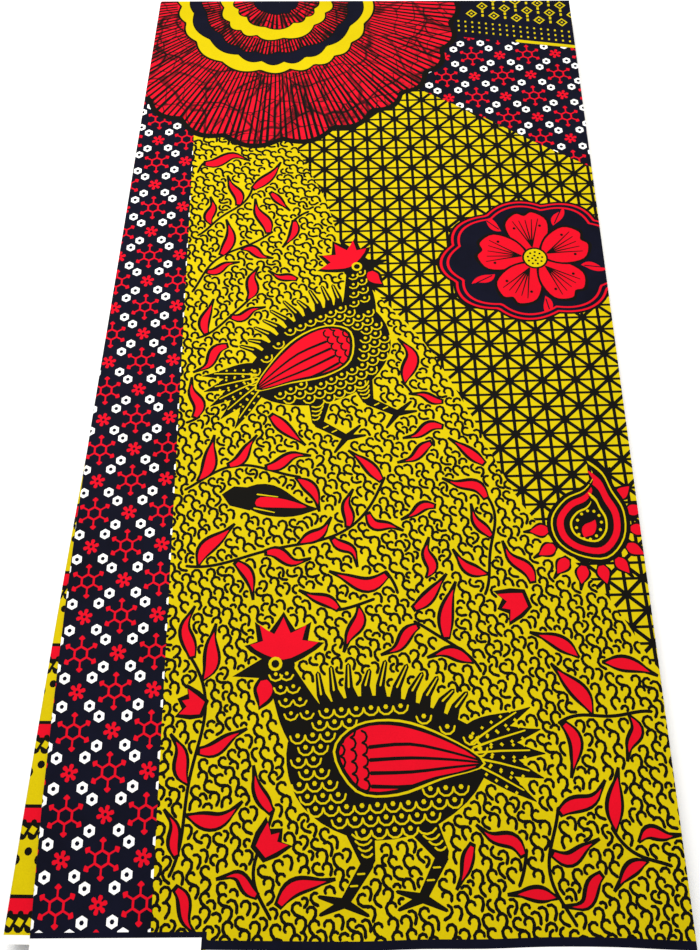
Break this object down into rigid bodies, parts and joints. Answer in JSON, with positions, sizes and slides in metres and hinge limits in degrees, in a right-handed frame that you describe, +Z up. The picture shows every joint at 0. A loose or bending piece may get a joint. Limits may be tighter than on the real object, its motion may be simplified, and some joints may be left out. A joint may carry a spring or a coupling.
{
  "type": "folded wax print fabric",
  "caption": "Long flat bundle of printed wax cotton, folded selvedge to selvedge and leaf over leaf, lying flat with one lower leaf askew.",
  "frame": {"origin": "middle of the bundle's outline, on the surface it lies on", "axes": "+X across the leaves, +Y from the selvedges to the centre fold, +Z up"},
  "size_m": [0.2986, 0.586, 0.0174],
  "materials": {
    "printed_cotton": "smooth waxed plain weave, printed both sides, faint sheen"
  },
  "bodies": {
    "root": {"bottom_fold": "printed_cotton", "hidden_leaves": "printed_cotton", "skewed_fold": "printed_cotton", "top_fold": "printed_cotton"}
  },
  "joints": []
}
